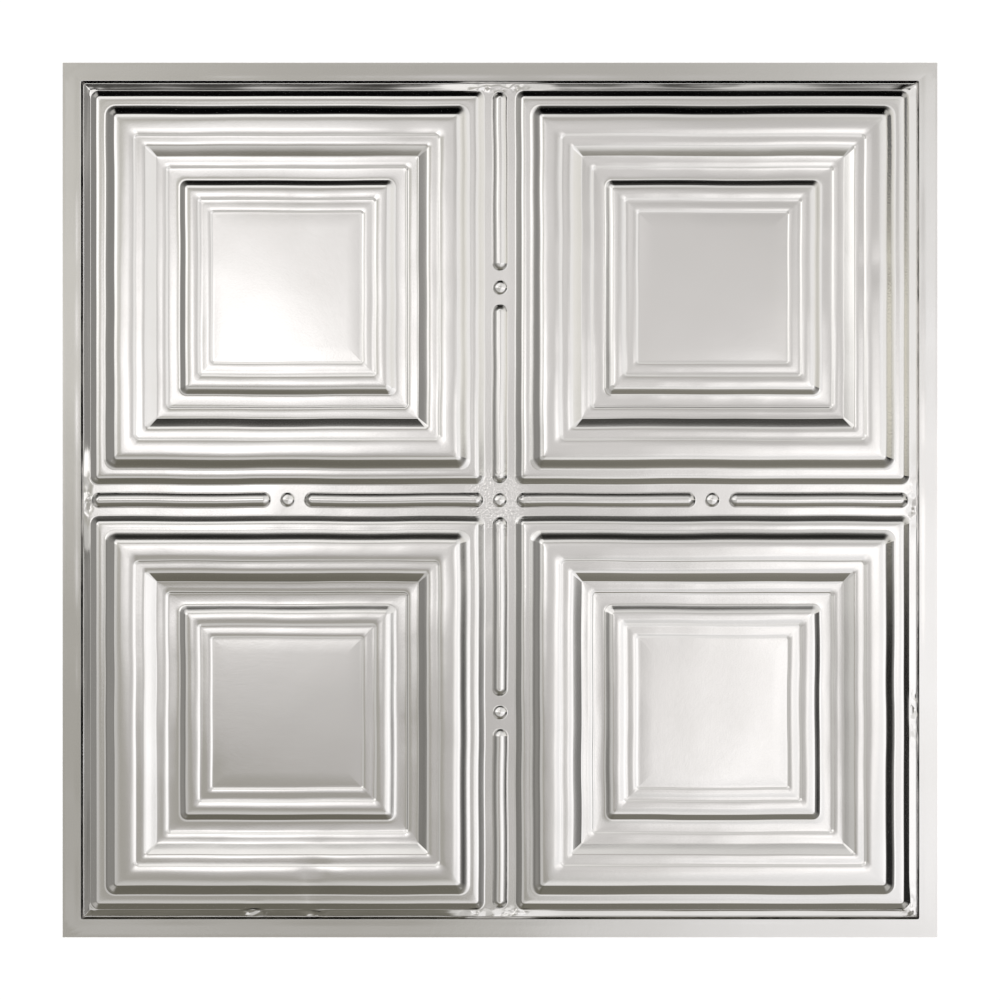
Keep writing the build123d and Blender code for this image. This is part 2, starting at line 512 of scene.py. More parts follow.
@dataclass
class Edge(Form):
    """The outer part of the flat border, the wall and the flange, round the whole tile."""

    half: float = TILE_HALF
    foot: float = WALL_FOOT
    top: float = WALL_TOP
    start: float = 282.6
    flange_level: float = 0.15
    level: float = BORDER_LEVEL
    bend: float = 0.8
    thickness: float = THICKNESS
    flange_radius: float = 0.4
    wall_radius: float = 1.6
    ledge_rings: tuple[float, ...] = (283.1, 283.6, 284.1, 284.6, 285.1, 285.6)
    ring_gap: float = 0.2

    def section(self) -> Section:
        """The middle line from the edge of the flange to the flat border.

        Returns:
            The section, from outside inwards.
        """
        lean = math.atan2(self.level - self.flange_level, self.foot - self.top)
        slope = math.degrees(lean)
        reach = self.bend * math.tan(lean / 2)
        inner = reach * math.cos(lean)
        bends = (
            Bend(self.half, 0.0),
            Bend(self.foot + reach, 0.0),
            Bend(self.foot - inner, slope),
            Bend(self.top + inner, slope),
            Bend(self.top - reach, 0.0),
            Bend(self.start, 0.0),
        )
        return Section(bends, self.flange_level)

    def meeting(self) -> float:
        """The distance from the middle of the tile at which the edge meets the rest of the flat border."""
        return self.start

    def rows(self, face: Face, detail: Detail) -> np.ndarray:
        """A row for each ring, with more of them on the ledge above the wall.

        Args:
            face: which face of the sheet.
            detail: how finely it is drawn.

        Returns:
            Distance from the middle of the tile, height, and sine and cosine of the slope.
        """
        bent = self.section().trace(face, detail)
        level = bent[-1][1]
        ring_before = bent[-2][0] - self.ring_gap
        ledge = [(d, level, 0.0, 1.0) for d in self.ledge_rings if self.start < d < ring_before]
        return np.vstack((bent[:-1], ledge[::-1], bent[-1:]))

    def ring(self, distance: float, detail: Detail) -> tuple[np.ndarray, np.ndarray]:
        """The points of a ring at a distance from the middle of the tile, and the outward directions."""
        radius = float(np.interp(distance, (self.foot, self.half), (self.wall_radius, self.flange_radius)))
        return Loop.square(distance, radius).points(detail.edge_side, detail.edge_corner)[:2]

    def rim(self, detail: Detail) -> Patch:
        """The cut edge of the sheet, round the flange.

        Args:
            detail: how finely it is drawn.

        Returns:
            A strip of the sheet's thickness that looks outwards.
        """
        spots, outs = self.ring(self.half, detail)
        flat = np.zeros(len(spots))
        low = np.column_stack((spots, flat))
        high = np.column_stack((spots, flat + self.thickness))
        look = np.column_stack((outs, flat))
        return Patch(np.vstack((low, high)), np.vstack((look, look)), strips(2, len(spots), False))


@dataclass
class Border:
    """The flat border between the panels, the beads, the dots and the edge."""

    level: float = BORDER_LEVEL
    thickness: float = THICKNESS
    clear: float = 1.4  # how far points on the flat stay from the rings
    merge: float = 1e-5

    def patch(self, face: Face, detail: Detail, outer: np.ndarray, holes: list[np.ndarray]) -> Patch:
        """One face of the flat border.

        Args:
            face: which face of the sheet.
            detail: how finely it is drawn.
            outer: the ring of points round it.
            holes: the rings of points inside it, which stay open.

        Returns:
            A flat patch whose edges are those rings.
        """
        loops = [outer] + holes
        spots = np.vstack(loops + [self._inner_spots(detail.border_step, outer, holes)])
        edges, start = [], 0
        for loop in loops:
            edges += [(start + i, start + (i + 1) % len(loop)) for i in range(len(loop))]
            start += len(loop)
        nodes, _, cells = delaunay_2d_cdt([Vector(p) for p in spots], edges, [], 0, self.merge)[:3]
        flat = np.array([(v.x, v.y) for v in nodes])
        middles = np.array([flat[list(f)].mean(axis=0) for f in cells])
        keep = self._within(middles, outer)
        for hole in holes:
            keep &= ~self._within(middles, hole)
        faces = []
        for used, f in zip(keep, cells):
            if used:
                a, b, c = flat[f[0]], flat[f[1]], flat[f[2]]
                turning = (b[0] - a[0]) * (c[1] - a[1]) - (b[1] - a[1]) * (c[0] - a[0])
                up = tuple(f) if turning > 0 else tuple(f)[::-1]
                faces.append(up[::-1] if face is Face.BACK else up)
        height = self.level + face.value * self.thickness / 2
        points = np.column_stack((flat, np.full(len(flat), height)))
        return Patch(points, np.tile((0.0, 0.0, float(face.value)), (len(points), 1)), faces)

    def _inner_spots(self, step: float, outer: np.ndarray, holes: list[np.ndarray]) -> np.ndarray:
        """Points spread over the flat, clear of every ring.

        Args:
            step: distance between neighbours.
            outer: the ring of points round the flat.
            holes: the rings of points inside it.

        Returns:
            The points, in plan.
        """
        reach = float(np.abs(outer).max())
        line = np.arange(-reach + step / 2, reach, step)
        grid = np.stack(np.meshgrid(line, line), axis=-1).reshape(-1, 2)
        grid[:, 0] += np.where(np.round(grid[:, 1] / step) % 2 == 0, step / 4, -step / 4)
        keep = self._within(grid * (1.0 + self.clear / reach), outer)
        for hole in holes:
            middle = hole.mean(axis=0)
            spread = np.abs(hole - middle).max(axis=0)
            grown = middle + (grid - middle) / (1.0 + self.clear / spread)
            keep &= ~self._within(grown, hole)
        return grid[keep]

    @staticmethod
    def _within(spots: np.ndarray, ring: np.ndarray) -> np.ndarray:
        """Which points lie inside a ring.

        Args:
            spots: the points, in plan.
            ring: a convex ring of points that runs anticlockwise.

        Returns:
            True or False for each point.
        """
        low, high = ring.min(axis=0), ring.max(axis=0)
        inside = np.all((spots > low) & (spots < high), axis=1)
        at = np.flatnonzero(inside)
        if len(at):
            ahead = np.roll(ring, -1, axis=0) - ring
            gap = spots[at][:, None, :] - ring[None, :, :]
            side = ahead[None, :, 0] * gap[:, :, 1] - ahead[None, :, 1] * gap[:, :, 0]
            inside[at] = np.all(side > 0, axis=1)
        return inside


@dataclass(frozen=True)
class Crumple:
    """A spot where the thin sheet is creased: its place, its reach and the depth of its creases."""

    across: float
    up: float
    reach: float
    depth: float


@dataclass(frozen=True)
class Dent:
    """A soft dent: its place, its size and how deep it is."""

    across: float
    up: float
    size: float
    depth: float


class Wave(Enum):
    """Families of plane waves in the sheet, by what they bend."""

    SHEET = "sheet"
    RIPPLE = "ripple"
    FLANGE = "flange"
    ALONG = "along"
    CREASE = "crease"
    DRIFT_X = "drift_x"
    DRIFT_Y = "drift_y"
    STREAK = "streak"


# shortest and longest wave in millimetres, and number of waves, in the order in which they are drawn
WAVE_SPANS = {
    Wave.SHEET: (150.0, 330.0, 9),
    Wave.RIPPLE: (28.0, 62.0, 12),
    Wave.FLANGE: (60.0, 190.0, 9),
    Wave.ALONG: (45.0, 160.0, 10),
    Wave.CREASE: (8.0, 17.0, 14),
    Wave.DRIFT_X: (45.0, 130.0, 9),
    Wave.DRIFT_Y: (45.0, 130.0, 9),
    Wave.STREAK: (60.0, 180.0, 10),
}


@dataclass
class PressMarks:
    """What pressing and handling leave in the thin sheet: waves, a drooping ledge, crumples and dents."""

    seed: int = 11
    wave_gain: float = 0.7
    wave_depth: float = 0.22
    wave_fade: tuple[float, float] = (228.0, 276.0)  # where the waves begin to die out and are gone
    calm: float = 0.75  # share of the waves that the squares in the middles of the panels lack
    calm_reach: tuple[float, float] = (0.8, 1.3)  # shares of the squares' reach over which the calm ends
    streak_depth: float = 0.012
    streak_pitch: float = 1.7
    streak_sway: float = 2.2
    ripple_depth: float = 0.035
    flange_lift: float = 0.05
    flange_start: tuple[float, float] = (289.2, 294.0)
    droop: tuple[float, float, float, float] = (2.35, 2.03, 0.95, 2.1)  # left, top, right, bottom
    droop_right: tuple[float, float] = (0.93, 0.72)  # share of it on the right half of the top and the bottom
    droop_curve: float = 0.72  # power of the slope of it along the right half of the bottom
    droop_sway: float = 0.07
    cross_half: float = 30.0  # the ledge stays up within this distance of the cross
    corner_power: int = 36  # how square the flange's corners are where its tip lifts
    ledge_start: float = 281.9
    ledge_end: float = WALL_TOP
    foot: float = WALL_FOOT
    half: float = TILE_HALF
    flange_tip: float = 0.35
    drift: float = 0.24
    drift_fade: tuple[float, float] = (272.0, 281.0)
    crumple_start: tuple[float, float] = (280.3, 283.3)
    crumple_end: tuple[float, float] = (287.2, 288.9)
    crumple_sink: float = 0.35
    probe: float = 0.04  # how far apart heights are compared, to each side
    upright: float = 0.05  # a face that looks up less than this stands on edge
    bulge_reach: float = 51.0
    panel_middle: float = PANEL_MIDDLE
    bulges: tuple[tuple[int, int, float], ...] = ((-1, 1, 0.05), (1, 1, -0.1), (1, -1, -0.1))
    crumples: tuple[Crumple, ...] = (
        Crumple(-285.5, 2.0, 11.0, 0.55),
        Crumple(-11.5, 283.5, 7.0, 0.8),
        Crumple(8.0, 283.5, 8.0, 0.8),
        Crumple(284.5, -2.0, 11.0, 0.6),
        Crumple(-17.0, -284.5, 9.0, 0.8),
        Crumple(8.5, -284.0, 9.0, 0.85),
        Crumple(-167.5, -284.5, 9.0, 0.6),
        Crumple(-126.0, -284.5, 8.0, 0.55),
        Crumple(286.0, -140.0, 8.0, 0.7),
        Crumple(286.5, -160.0, 12.0, 0.35),
        Crumple(284.5, -282.0, 13.0, 0.7),
        Crumple(-281.5, 285.0, 8.0, 0.25),
        Crumple(282.0, 285.0, 8.0, 0.4),
        Crumple(-284.5, -283.0, 7.0, 0.4),
    )
    dents: tuple[Dent, ...] = (
        Dent(-126.0, -257.0, 10.0, 0.35),
        Dent(-167.0, -273.5, 7.0, 0.3),
        Dent(-125.0, -273.5, 7.0, 0.25),
        Dent(258.0, 160.0, 12.0, 0.2),
        Dent(-60.0, 256.0, 13.0, 0.2),
    )
    waves: dict[Wave, np.ndarray] = field(init=False)

    def __post_init__(self) -> None:
        """Draws the directions, lengths and starts of the waves from the seed."""
        chance = np.random.default_rng(self.seed)
        self.waves = {}
        for name, (short, long, count) in WAVE_SPANS.items():
            length = short * (long / short) ** chance.random(count)
            angle = chance.random(count) * 2 * math.pi
            start = chance.random(count) * 2 * math.pi
            step = 2 * math.pi / length
            self.waves[name] = np.stack((step * np.cos(angle), step * np.sin(angle), start), axis=1)

    def wave(self, name: Wave, x: np.ndarray, y: np.ndarray) -> np.ndarray:
        """A sum of plane waves.

        Args:
            name: which family of waves.
            x: places along X, in millimetres.
            y: places along Y, in millimetres.

        Returns:
            Heights from -1 to 1.
        """
        table = self.waves[name]
        phase = x[:, None] * table[None, :, 0] + y[:, None] * table[None, :, 1] + table[None, :, 2]
        return np.tanh(np.cos(phase).sum(axis=1) / math.sqrt(len(table) / 2.0) * self.wave_gain)

    def height(self, x: np.ndarray, y: np.ndarray) -> np.ndarray:
        """How far the sheet stands off its pressed shape.

        Args:
            x: places along X, in millimetres.
            y: places along Y, in millimetres.

        Returns:
            Heights in millimetres, not above zero at the tops of the panels.
        """
        out = np.maximum(np.abs(x), np.abs(y))
        inside = 1.0 - smooth(*self.wave_fade, out)
        inside *= 1.0 - self.calm * self._squares(x, y)
        rise = inside * (self.wave_depth * (self.wave(Wave.SHEET, x, y) - 1.0))
        rise += inside * (self.ripple_depth * (self.wave(Wave.RIPPLE, x, y) - 1.0))
        rise += smooth(*self.flange_start, out) * self.flange_lift * (self.wave(Wave.FLANGE, x, y) + 1.0)
        rise += self._bulges(x, y) + self._ledge(x, y, out) + self._spots(x, y, out)
        return rise

    def _squares(self, x: np.ndarray, y: np.ndarray) -> np.ndarray:
        """1 on the squares in the middles of the panels, 0 off them."""
        away = np.maximum(np.abs(np.abs(x) - self.panel_middle), np.abs(np.abs(y) - self.panel_middle))
        return 1.0 - smooth(*(share * self.bulge_reach for share in self.calm_reach), away)

    def _bulges(self, x: np.ndarray, y: np.ndarray) -> np.ndarray:
        """The slight dishing of the squares in the middles of the panels.

        Args:
            x: places along X, in millimetres.
            y: places along Y, in millimetres.

        Returns:
            Heights in millimetres.
        """
        rise = np.zeros(len(x))
        for sx, sy, depth in self.bulges:
            u = np.clip(np.abs(x - sx * self.panel_middle) / self.bulge_reach, 0, 1)
            v = np.clip(np.abs(y - sy * self.panel_middle) / self.bulge_reach, 0, 1)
            rise += depth * (1 - u * u) ** 2 * (1 - v * v) ** 2
        return rise

    def _ledge(self, x: np.ndarray, y: np.ndarray, out: np.ndarray) -> np.ndarray:
        """The ledge above the wall, which droops outwards except at the ends of the cross.

        Args:
            x: places along X, in millimetres.
            y: places along Y, in millimetres.
            out: the greater distance from the middle of the tile, along X or Y.

        Returns:
            Heights in millimetres.
        """
        along = np.where(np.abs(x) > np.abs(y), y, x)
        sides = (-x > np.abs(y), y >= np.abs(x), x > np.abs(y))
        right = x > 0
        far, near = self.droop_right
        top = self.droop[1] * np.where(right, far, 1.0)
        bottom = self.droop[3] * np.where(right, near, 1.0)
        amount = np.select(sides, (self.droop[0], top, self.droop[2]), bottom)
        amount = amount * (1.0 + self.droop_sway * self.wave(Wave.ALONG, x, y))
        amount *= 1.0 - np.exp(-((along / self.cross_half) ** 4))
        ramp = np.clip((out - self.ledge_start) / (self.ledge_end - self.ledge_start), 0.0, 1.0)
        ramp = np.where((x > np.abs(y)) | (y > 0) | ~right, ramp, ramp ** self.droop_curve)
        back = np.clip((self.foot - out) / (self.foot - self.ledge_end), 0.0, 1.0)
        profile = np.where(out < self.ledge_end, ramp, back)
        power = self.corner_power
        soft = (np.abs(x) ** power + np.abs(y) ** power) ** (1 / power)
        tip = np.where(out < self.foot, 1.0 - back, (self.half - soft) / (self.half - self.foot))
        turns = 2 * math.pi * (out - self.ledge_start) / self.streak_pitch
        fold = np.sin(turns + self.streak_sway * self.wave(Wave.STREAK, x, y))
        streak = self.streak_depth * fold * ramp * (out < self.ledge_end)
        return -amount * profile + self.flange_tip * np.clip(tip, 0.0, 1.0) + streak

    def _spots(self, x: np.ndarray, y: np.ndarray, out: np.ndarray) -> np.ndarray:
        """The crumples along the edge and the soft dents.

        Args:
            x: places along X, in millimetres.
            y: places along Y, in millimetres.
            out: the greater distance from the middle of the tile, along X or Y.

        Returns:
            Heights in millimetres.
        """
        rise = np.zeros(len(x))
        band = smooth(*self.crumple_start, out) * (1.0 - smooth(*self.crumple_end, out))
        crease = self.wave(Wave.CREASE, x, y)
        for c in self.crumples:
            away = ((x - c.across) ** 2 + (y - c.up) ** 2) / c.reach ** 2
            rise += c.depth * band * (crease - self.crumple_sink) * np.exp(-away)
        for d in self.dents:
            rise -= d.depth * np.exp(-((x - d.across) ** 2 + (y - d.up) ** 2) / d.size ** 2)
        return rise

    def applied(self, patch: Patch) -> Patch:
        """The patch with the marks pressed into it.

        Args:
            patch: the sheet as it would leave a perfect press.

        Returns:
            A patch with moved points and with normals that follow.
        """
        x, y = patch.points[:, 0], patch.points[:, 1]
        out = np.maximum(np.abs(x), np.abs(y))
        hold = self.drift * (1.0 - smooth(*self.drift_fade, out))
        moved = patch.points.copy()
        moved[:, 0] += hold * self.wave(Wave.DRIFT_X, x, y)
        moved[:, 1] += hold * self.wave(Wave.DRIFT_Y, x, y)
        moved[:, 2] += self.height(x, y)
        reach = self.probe
        slope_x = (self.height(x + reach, y) - self.height(x - reach, y)) / (2 * reach)
        slope_y = (self.height(x, y + reach) - self.height(x, y - reach)) / (2 * reach)
        up = patch.normals[:, 2]
        standing = np.abs(up) < self.upright
        safe = np.where(standing, 1.0, up)
        look_x = patch.normals[:, 0] / safe - slope_x
        look_y = patch.normals[:, 1] / safe - slope_y
        look = np.column_stack((look_x, look_y, np.ones(len(x))))
        look *= np.sign(safe)[:, None]
        look[standing] = patch.normals[standing]
        return Patch(moved, look / np.linalg.norm(look, axis=1, keepdims=True), patch.faces)


@dataclass(frozen=True)
class Grain:
    """A noise: features per metre, number of finer layers and how strong those are."""

    scale: float
    fine: float
    rough: float


class NodeSheet:
    """A short way to lay out shader nodes."""

    def __init__(self, tree: bpy.types.NodeTree) -> None:
        """Starts on a tree, which it empties.

        Args:
            tree: the node tree of a material or a world.
        """
        self.tree = tree
        tree.nodes.clear()

    def node(self, kind: str, **settings: object) -> bpy.types.Node:
        """Adds a node.

        Args:
            kind: Blender's name of the kind of node.
            settings: properties to set on it.

        Returns:
            The node.
        """
        made = self.tree.nodes.new(kind)
        for name, value in settings.items():
            setattr(made, name, value)
        return made

    def feed(self, socket: Socket, value: object) -> None:
        """Links a socket to another node's output, or sets it to a plain value.

        Args:
            socket: the input to feed.
            value: an output, or a number or colour.
        """
        if isinstance(value, Socket):
            self.tree.links.new(value, socket)
        else:
            socket.default_value = value

    def sum(self, operation: str, *values: object) -> Socket:
        """One Math node.

        Args:
            operation: Blender's name of the operation.
            values: sockets or numbers, in the node's order.

        Returns:
            The node's output.
        """
        made = self.node("ShaderNodeMath", operation=operation)
        for socket, value in zip(made.inputs, values):
            self.feed(socket, value)
        return made.outputs[0]

    def span(
        self, value: object, low: float, high: float, to_low: float, to_high: float, soft: bool = False
    ) -> Socket:
        """One Map Range node.

        Args:
            value: the socket to map.
            low: value that maps to to_low.
            high: value that maps to to_high.
            to_low: result at low.
            to_high: result at high.
            soft: True for a smooth step.

        Returns:
            The mapped value.
        """
        made = self.node("ShaderNodeMapRange", interpolation_type="SMOOTHSTEP" if soft else "LINEAR")
        for name, number in zip(("From Min", "From Max", "To Min", "To Max"), (low, high, to_low, to_high)):
            made.inputs[name].default_value = number
        self.feed(made.inputs["Value"], value)
        return made.outputs["Result"]

    def blend(self, amount: object, first: object, second: object) -> Socket:
        """One colour Mix node.

        Args:
            amount: 0 for the first colour, 1 for the second.
            first: socket or colour.
            second: socket or colour.

        Returns:
            The mixed colour.
        """
        made = self.node("ShaderNodeMix", data_type="RGBA")
        for place, value in zip(MIX_INPUTS, (amount, first, second)):
            self.feed(made.inputs[place], value)
        return made.outputs[MIX_RESULT]

    def ramp(self, amount: Socket, stops: tuple[tuple[float, Colour], ...]) -> Socket:
        """One colour ramp.

        Args:
            amount: where on the ramp.
            stops: places and colours.

        Returns:
            The ramp's colour.
        """
        made = self.node("ShaderNodeValToRGB")
        band = made.color_ramp.elements
        while len(band) < len(stops):
            band.new(0.5)
        for element, (place, colour) in zip(band, stops):
            element.position = place
            element.color = (*colour, 1.0)
        self.feed(made.inputs["Fac"], amount)
        return made.outputs["Color"]

    def noise(self, where: Socket, grain: Grain) -> Socket:
        """One noise texture.

        Args:
            where: coordinates in metres.
            grain: the kind of noise.

        Returns:
            The noise, from 0 to 1.
        """
        made = self.node("ShaderNodeTexNoise")
        self.feed(made.inputs["Vector"], where)
        for name, number in (("Scale", grain.scale), ("Detail", grain.fine), ("Roughness", grain.rough)):
            made.inputs[name].default_value = number
        return made.outputs["Fac"]

    def bump(self, height: Socket, rise: float, under: Socket | None = None) -> Socket:
        """One Bump node.

        Args:
            height: what stands up, from 0 to 1.
            rise: how high 1 stands, in metres.
            under: the normals that it starts from, if not the mesh's own.

        Returns:
            The bumped normals.
        """
        made = self.node("ShaderNodeBump")
        made.inputs["Strength"].default_value = 1.0
        made.inputs["Distance"].default_value = rise
        self.feed(made.inputs["Height"], height)
        if under is not None:
            self.feed(made.inputs["Normal"], under)
        return made.outputs["Normal"]


@dataclass(frozen=True)
class TinPlate:
    """Bright tin plate: satin grain, cloudy colour and sheen, painted shade in the crease at the foot of the
    wall, pebbled spots.

    Lengths are in metres, as the shader has them.
    """

    bright: Colour = (0.822, 0.805, 0.797)
    dull: Colour = (0.784, 0.766, 0.752)
    gloss: tuple[float, float] = (0.085, 0.125)
    clouds: Grain = Grain(14.0, 4.0, 0.55)
    specks: Grain = Grain(900.0, 2.0, 0.6)
    tone_shares: tuple[float, float] = (0.7, 0.3)  # of the clouds and of the specks
    tone_ends: tuple[float, float] = (0.35, 0.65)
    speck_height: float = 6.0e-6
    peel: Grain = Grain(210.0, 2.0, 0.5)
    peel_height: float = 7.0e-6
    # near-black colour: painted shade in the crease at the foot of the wall, where shade falls
    crease_shade: Colour = (0.02, 0.019, 0.017)
    crease: tuple[float, float, float, float] = (0.2871, 0.2877, 0.2887, 0.2891)  # where the painted shade starts and ends
    crease_sway: float = 0.0008
    patches: Grain = Grain(26.0, 3.0, 0.6)
    patch_ends: tuple[float, float] = (0.40, 0.58)
    patch_share: tuple[float, float] = (0.45, 1.0)  # how thin and how thick the painted shade lies
    pebbles: Grain = Grain(750.0, 1.0, 0.5)
    pebble_height: float = 1.0e-4
    pebble_reach: tuple[float, float] = (0.013, 0.026)  # full and gone, from the middle of the tile
    pebble_rises: tuple[float, float] = (0.2675, 0.2787)  # the rises at the right that are pebbled too
    pebble_wide: tuple[float, float] = (0.0025, 0.0035)  # full and gone, from the middle of such a rise
    pebble_up: float = 0.146  # the middle of the pebbled stretch of those rises
    pebble_half: float = 0.125
    pebble_soft: float = 0.8  # share of that half over which the stretch is full
    pebble_share: float = 0.22

    def material(self) -> bpy.types.Material:
        """Builds the finish.

        Returns:
            A material with clouds of colour and sheen, fine grain, a faint orange peel and painted shade in
            the crease.
        """
        made = bpy.data.materials.new(SLOT)
        made.use_nodes = True
        sheet = NodeSheet(made.node_tree)
        where = sheet.node("ShaderNodeTexCoord").outputs["Object"]
        cloud, speck, peel = (sheet.noise(where, grain) for grain in (self.clouds, self.specks, self.peel))
        parts = [sheet.sum("MULTIPLY", part, share) for part, share in zip((cloud, speck), self.tone_shares)]
        tone = sheet.sum("ADD", *parts)
        low, high = self.tone_ends
        colour = sheet.ramp(tone, ((low, self.dull), (high, self.bright)))
        # painted shade: the colour turns near-black in the crease at the foot of the wall
        colour = sheet.blend(self._crease_shade_amount(sheet, where, peel), colour, (*self.crease_shade, 1.0))
        sheen = sheet.span(tone, low, high, self.gloss[1], self.gloss[0])
        pebbled = sheet.sum("MULTIPLY", sheet.noise(where, self.pebbles), self._pebbled(sheet, where))
        normal = sheet.bump(speck, self.speck_height)
        normal = sheet.bump(peel, self.peel_height, normal)
        normal = sheet.bump(pebbled, self.pebble_height, normal)
        shader = sheet.node("ShaderNodeBsdfPrincipled")
        shader.inputs["Metallic"].default_value = 1.0
        sheet.feed(shader.inputs["Base Color"], colour)
        sheet.feed(shader.inputs["Roughness"], sheen)
        sheet.feed(shader.inputs["Normal"], normal)
        sheet.feed(sheet.node("ShaderNodeOutputMaterial").inputs["Surface"], shader.outputs["BSDF"])
        return made

    def _pebbled(self, sheet: NodeSheet, where: Socket) -> Socket:
        """How pebbled the sheet is: fully at the middle of the tile, and in part by its right edge.

        Args:
            sheet: where the nodes go.
            where: coordinates in metres.

        Returns:
            A value socket, from 0 to 1.
        """
        length = sheet.node("ShaderNodeVectorMath", operation="LENGTH")
        sheet.feed(length.inputs[0], where)
        middle = sheet.span(length.outputs["Value"], *self.pebble_reach, 1.0, 0.0)
        split = sheet.node("ShaderNodeSeparateXYZ")
        sheet.feed(split.inputs[0], where)
        away = sheet.sum("ABSOLUTE", sheet.sum("SUBTRACT", split.outputs[1], self.pebble_up))
        begins = self.pebble_soft * self.pebble_half
        stretch = sheet.span(away, begins, self.pebble_half, self.pebble_share, 0.0)
        for rise in self.pebble_rises:
            aside = sheet.sum("ABSOLUTE", sheet.sum("SUBTRACT", split.outputs[0], rise))
            strip = sheet.span(aside, *self.pebble_wide, 1.0, 0.0)
            middle = sheet.sum("MULTIPLY_ADD", strip, stretch, middle)
        return middle

    def _crease_shade_amount(self, sheet: NodeSheet, where: Socket, uneven: Socket) -> Socket:
        """How much painted shade lies in the crease at the foot of the wall, from 0 to 1.

        Args:
            sheet: where the nodes go.
            where: coordinates in metres.
            uneven: a noise that shifts the edge of the grime.

        Returns:
            A value socket.
        """
        split = sheet.node("ShaderNodeSeparateXYZ")
        sheet.feed(split.inputs[0], where)
        sides = [sheet.sum("ABSOLUTE", part) for part in split.outputs[:2]]
        furthest = sheet.sum("MAXIMUM", *sides)
        least = sheet.sum("SUBTRACT", furthest, self.crease_sway / 2)
        out = sheet.sum("MULTIPLY_ADD", uneven, self.crease_sway, least)
        begins = sheet.span(out, *self.crease[:2], 0.0, 1.0)
        ends = sheet.span(furthest, *self.crease[2:], 1.0, 0.0)
        patchy = sheet.span(sheet.noise(where, self.patches), *self.patch_ends, *self.patch_share)
        return sheet.sum("MULTIPLY", sheet.sum("MULTIPLY", begins, ends), patchy)


@dataclass
class TileSheet:
    """The whole tile: four panels, eight beads, five dots, the flat border and the edge, in one sheet."""

    panel: Panel = field(default_factory=Panel)
    bead: Crown = field(default_factory=lambda: Crown(width=10.4, straight=56.38))
    dot: Crown = field(
        default_factory=lambda: Crown(
            width=9.8, straight=0.0, edge_slope=36.0, foot_slope=28.5, crest_slope=22.0, crest_half=2.6
        )
    )
    edge: Edge = field(default_factory=Edge)
    border: Border = field(default_factory=Border)
    marks: PressMarks = field(default_factory=PressMarks)
    finish: TinPlate = field(default_factory=TinPlate)
    panel_middle: float = PANEL_MIDDLE
    dot_places: tuple[tuple[int, int], ...] = ((0, 0), (1, 0), (-1, 0), (0, 1), (0, -1))
    bead_places: tuple[float, ...] = (-1.5, -0.5, 0.5, 1.5)  # along both arms of the cross

    def _places(self) -> list[tuple[Form, float, float, int]]:
        """Where the raised forms stand.

        Returns:
            Each form with its place along X and Y and its quarter turns.
        """
        m = self.panel_middle
        places: list[tuple[Form, float, float, int]] = []
        places += [(self.panel, sx * m, sy * m, 0) for sx in (-1, 1) for sy in (-1, 1)]
        places += [(self.dot, x * m, y * m, 0) for x, y in self.dot_places]
        for k in self.bead_places:
            places += [(self.bead, 0.0, k * m, 0), (self.bead, k * m, 0.0, 1)]
        return places

    def face(self, face: Face) -> Patch:
        """One whole face of the sheet, welded.

        Args:
            face: which face.

        Returns:
            The patch, before any press marks.
        """
        detail = DETAIL[face]
        patches = [self.edge.patch(face, detail)]
        holes = []
        made = {id(form): form.patch(face, detail) for form in (self.panel, self.bead, self.dot)}
        for form, across, up, quarter in self._places():
            patches.append(made[id(form)].moved(across, up, quarter))
            ring = form.outline(detail)
            flat = Patch(np.column_stack((ring, np.zeros(len(ring)))), np.zeros((len(ring), 3)), [])
            holes.append(flat.moved(across, up, quarter).points[:, :2])
        patches.append(self.border.patch(face, detail, self.edge.outline(detail), holes))
        return weld(join(patches))

    def build(self) -> bpy.types.Object:
        """Builds the sheet as one mesh.

        Returns:
            The tile's object, linked to the scene.
        """
        whole = join([self.face(Face.FRONT), self.face(Face.BACK), self.edge.rim(DETAIL[Face.FRONT])])
        whole = self.marks.applied(whole)
        mesh = bpy.data.meshes.new("tile_sheet_looks")
        mesh.from_pydata((whole.points * MM).tolist(), [], whole.faces)
        mesh.polygons.foreach_set("use_smooth", [True] * len(mesh.polygons))
        mesh.update()
        mesh.normals_split_custom_set_from_vertices(whole.normals.tolist())
        tile = bpy.data.objects.new("tile_pressed", mesh)
        bpy.context.scene.collection.objects.link(tile)
        triangles = sum(len(f) - 2 for f in whole.faces)
        log.info("%s: %d points, %d triangles", tile.name, len(whole.points), triangles)
        return tile

    def dress(self, tile: bpy.types.Object) -> None:
        """Gives the tile its finish and its place in the frame.

        Args:
            tile: the tile's object.
        """
        tile.data.materials.append(self.finish.material())
        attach(tile, BODY)
        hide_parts(NODE)


@dataclass(frozen=True)
class LightPool:
    """A soft pool of light or shade overhead: its place in the sky, its width and its strength."""

    across: float
    up: float
    wide: float
    deep: float
    level: float


@dataclass(frozen=True)
class SkyBand:
    """A ring of the sky: where it begins and is full, in degrees from straight up, and its colour all round.

    The stops hold a turn from +X towards +Y, in degrees, a level and a warmth.
    """

    begins: float
    full: float
    stops: tuple[tuple[float, float, float], ...]
    more_red: float = 0.04
    less_blue: float = 0.16

    def colours(self) -> tuple[tuple[float, Colour], ...]:
        """The stops of a colour ramp all round.

        Returns:
            Places from 0 to 1, and colours.
        """
        made = []
        for turn, level, warm in self.stops:
            red, blue = 1.0 + self.more_red * warm, 1.0 - self.less_blue * warm
            made.append((turn / 360.0 + 0.5, (level * red, level, level * blue)))
        return tuple(made)


